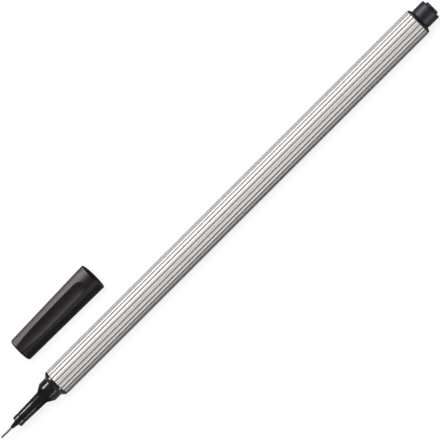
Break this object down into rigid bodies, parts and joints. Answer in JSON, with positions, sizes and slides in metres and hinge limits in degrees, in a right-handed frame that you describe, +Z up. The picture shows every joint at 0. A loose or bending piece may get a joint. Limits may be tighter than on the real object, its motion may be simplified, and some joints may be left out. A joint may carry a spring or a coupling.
{
  "type": "fineliner pen",
  "caption": "Slim fineliner pen with a ribbed silver barrel, black grip section, steel-clad needle point and tail post, with its scooped pull-off cap lying beside it.",
  "frame": {"origin": "on the table, under the middle of the pen and its cap taken together", "axes": "+X along the pen from its writing point to its tail, +Y from the pen towards the cap, +Z up"},
  "size_m": [0.1592, 0.0222, 0.0081],
  "materials": {
    "barrel_plastic": "satin silver-grey moulded plastic",
    "black_plastic": "glossy black moulded plastic",
    "steel": "bright drawn stainless steel",
    "nib_fibre": "ink-wet capillary fibre",
    "reservoir_fibre": "ink-soaked fibre",
    "clear_film": "clear wrapping film",
    "soft_seal": "soft dark moulded plastic"
  },
  "bodies": {
    "pen": {"barrel": "barrel_plastic", "grip_section": "black_plastic", "tip_bush": "black_plastic", "nib_ferrule": "steel", "nib_core": "nib_fibre", "ink_reservoir": "reservoir_fibre", "reservoir_film": "clear_film", "end_plug": "black_plastic"},
    "cap": {"cap_shell": "black_plastic", "cap_seal": "soft_seal"}
  },
  "joints": [
    {"name": "cap_slide", "type": "slide", "parent": "pen", "child": "cap", "axis": [-1, 0, 0], "range_m": [0, 0.052]}
  ]
}
